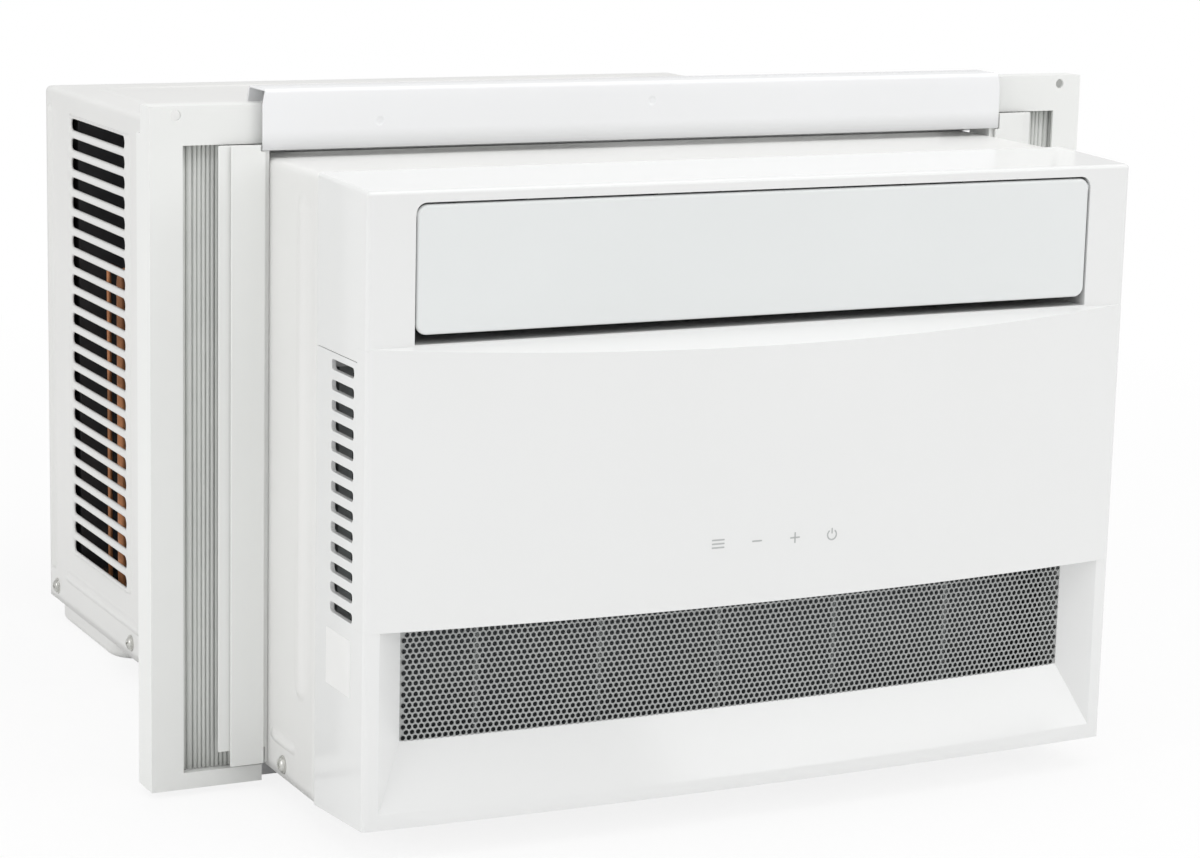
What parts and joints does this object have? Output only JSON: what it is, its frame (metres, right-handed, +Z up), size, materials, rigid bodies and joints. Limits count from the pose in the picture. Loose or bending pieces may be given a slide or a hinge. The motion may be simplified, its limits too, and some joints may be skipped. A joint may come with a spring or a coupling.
{
  "type": "window air conditioner",
  "caption": "Window air conditioner with a bowed front, perforated intake, swing-out discharge flap, steering vanes, slide-out filter and sliding side curtains.",
  "frame": {"origin": "middle of the bounding box's footprint, at the lowest point of the base pan's sump", "axes": "X along the width, -Y is the room side (front), +Z is up"},
  "size_m": [0.62, 0.5962, 0.4093],
  "materials": {
    "bezel_white": "smooth glossy white",
    "flap_grey_white": "fine satin, cool grey-white",
    "mesh_grey": "perforated sheet, satin grey",
    "vane_dark": "matte dark grey",
    "filter_frame_grey": "matte grey",
    "filter_net_dark": "fine woven net",
    "cabinet_white": "powder-coated warm off-white",
    "zinc_screw": "zinc plated",
    "galvanised": "galvanised sheet",
    "rail_white": "cool white coated steel",
    "curtain_white": "semi-matte white",
    "bellows_grey": "satin grey pleated sheet",
    "fin_aluminium": "bright thin fins",
    "copper": "drawn copper tube",
    "compressor_black": "semi-gloss black",
    "rubber_black": "moulded rubber",
    "motor_steel": "grey painted steel",
    "shaft_steel": "ground steel",
    "fan_plastic": "matte black",
    "foam_white": "moulded white housing",
    "board_green": "solder-mask green",
    "capacitor_can": "drawn can"
  },
  "bodies": {
    "chassis": {"accumulator": "compressor_black", "base_pan": "cabinet_white", "bellows_left": "bellows_grey", "bellows_right": "bellows_grey", "blower_scroll": "foam_white", "bottom_rail": "rail_white", "bulkhead": "galvanised", "cabinet": "cabinet_white", "cabinet_screws": "zinc_screw", "capillary_tube": "copper", "compressor": "compressor_black", "compressor_grommets": "rubber_black", "compressor_nuts": "zinc_screw", "condenser_fins": "fin_aluminium", "condenser_tubes": "copper", "control_board": "board_green", "control_box": "galvanised", "control_panel_cover": "bezel_white", "cord_inlet": "rubber_black", "curtain_guide_left": "curtain_white", "curtain_guide_right": "curtain_white", "discharge_line": "copper", "drain_plug": "rubber_black", "drip_tray": "foam_white", "evaporator_fins": "fin_aluminium", "evaporator_tubes": "copper", "fan_motor": "motor_steel", "fan_shroud": "fan_plastic", "intake_mesh": "mesh_grey", "lower_front_grille": "bezel_white", "motor_bracket": "galvanised", "run_capacitor": "capacitor_can", "small_screws": "zinc_screw", "suction_line": "copper", "terminal_cover": "fan_plastic", "top_rail": "rail_white", "touch_board": "board_green", "upper_front_frame": "bezel_white"},
    "flap": {"discharge_flap": "flap_grey_white"},
    "vane_links_left": {"vane_link_left": "vane_dark"},
    "vane_links_right": {"vane_link_right": "vane_dark"},
    "rotor": {"motor_shaft": "shaft_steel", "blower_wheel": "fan_plastic", "condenser_fan": "fan_plastic", "fan_nut": "zinc_screw"},
    "filter": {"filter_frame": "filter_frame_grey", "filter_net": "filter_net_dark"},
    "curtain_left": {"curtain_frame_left": "curtain_white"},
    "curtain_right": {"curtain_frame_right": "curtain_white"},
    "vane_01": {"air_vane_01": "vane_dark"},
    "vane_02": {"air_vane_02": "vane_dark"},
    "vane_03": {"air_vane_03": "vane_dark"},
    "vane_04": {"air_vane_04": "vane_dark"},
    "vane_05": {"air_vane_05": "vane_dark"},
    "vane_06": {"air_vane_06": "vane_dark"},
    "vane_07": {"air_vane_07": "vane_dark"},
    "vane_08": {"air_vane_08": "vane_dark"},
    "vane_09": {"air_vane_09": "vane_dark"},
    "vane_10": {"air_vane_10": "vane_dark"}
  },
  "joints": [
    {"name": "flap_hinge", "type": "hinge", "parent": "chassis", "child": "flap", "pos_m": [0, -0.2779, 0.357], "axis": [-1, 0, 0], "range_deg": [0, 70]},
    {"name": "vane_link_left_slide", "type": "slide", "parent": "chassis", "child": "vane_links_left", "axis": [-1, 0, 0], "range_m": [-0.00707, 0.00707]},
    {"name": "vane_01_turn", "type": "hinge", "parent": "chassis", "child": "vane_01", "pos_m": [-0.18, -0.2439, 0.325], "axis": [0, 0, 1], "range_deg": [-30, 30]},
    {"name": "vane_02_turn", "type": "hinge", "parent": "chassis", "child": "vane_02", "pos_m": [-0.14, -0.2439, 0.325], "axis": [0, 0, 1], "range_deg": [-30, 30]},
    {"name": "vane_03_turn", "type": "hinge", "parent": "chassis", "child": "vane_03", "pos_m": [-0.1, -0.2439, 0.325], "axis": [0, 0, 1], "range_deg": [-30, 30]},
    {"name": "vane_04_turn", "type": "hinge", "parent": "chassis", "child": "vane_04", "pos_m": [-0.06, -0.2439, 0.325], "axis": [0, 0, 1], "range_deg": [-30, 30]},
    {"name": "vane_05_turn", "type": "hinge", "parent": "chassis", "child": "vane_05", "pos_m": [-0.02, -0.2439, 0.325], "axis": [0, 0, 1], "range_deg": [-30, 30]},
    {"name": "vane_link_right_slide", "type": "slide", "parent": "chassis", "child": "vane_links_right", "axis": [-1, 0, 0], "range_m": [-0.00707, 0.00707]},
    {"name": "vane_06_turn", "type": "hinge", "parent": "chassis", "child": "vane_06", "pos_m": [0.02, -0.2439, 0.325], "axis": [0, 0, 1], "range_deg": [-30, 30]},
    {"name": "vane_07_turn", "type": "hinge", "parent": "chassis", "child": "vane_07", "pos_m": [0.06, -0.2439, 0.325], "axis": [0, 0, 1], "range_deg": [-30, 30]},
    {"name": "vane_08_turn", "type": "hinge", "parent": "chassis", "child": "vane_08", "pos_m": [0.1, -0.2439, 0.325], "axis": [0, 0, 1], "range_deg": [-30, 30]},
    {"name": "vane_09_turn", "type": "hinge", "parent": "chassis", "child": "vane_09", "pos_m": [0.14, -0.2439, 0.325], "axis": [0, 0, 1], "range_deg": [-30, 30]},
    {"name": "vane_10_turn", "type": "hinge", "parent": "chassis", "child": "vane_10", "pos_m": [0.18, -0.2439, 0.325], "axis": [0, 0, 1], "range_deg": [-30, 30]},
    {"name": "fan_spin", "type": "hinge", "parent": "chassis", "child": "rotor", "pos_m": [0, 0.0481, 0.169], "axis": [0, 1, 0], "continuous": true},
    {"name": "filter_slide", "type": "slide", "parent": "chassis", "child": "filter", "axis": [1, 0, 0], "range_m": [0, 0.45]},
    {"name": "curtain_left_slide", "type": "slide", "parent": "chassis", "child": "curtain_left", "axis": [-1, 0, 0], "range_m": [0, 0.15], "deforming": ["bellows_left"]},
    {"name": "curtain_right_slide", "type": "slide", "parent": "chassis", "child": "curtain_right", "axis": [1, 0, 0], "range_m": [0, 0.15], "deforming": ["bellows_right"]}
  ],
  "couplings": [
    {"joint": "vane_01_turn", "follows": "vane_link_left_slide", "rad_per_m": 74},
    {"joint": "vane_02_turn", "follows": "vane_link_left_slide", "rad_per_m": 74},
    {"joint": "vane_03_turn", "follows": "vane_link_left_slide", "rad_per_m": 74},
    {"joint": "vane_04_turn", "follows": "vane_link_left_slide", "rad_per_m": 74},
    {"joint": "vane_05_turn", "follows": "vane_link_left_slide", "rad_per_m": 74},
    {"joint": "vane_06_turn", "follows": "vane_link_right_slide", "rad_per_m": 74},
    {"joint": "vane_07_turn", "follows": "vane_link_right_slide", "rad_per_m": 74},
    {"joint": "vane_08_turn", "follows": "vane_link_right_slide", "rad_per_m": 74},
    {"joint": "vane_09_turn", "follows": "vane_link_right_slide", "rad_per_m": 74},
    {"joint": "vane_10_turn", "follows": "vane_link_right_slide", "rad_per_m": 74}
  ]
}
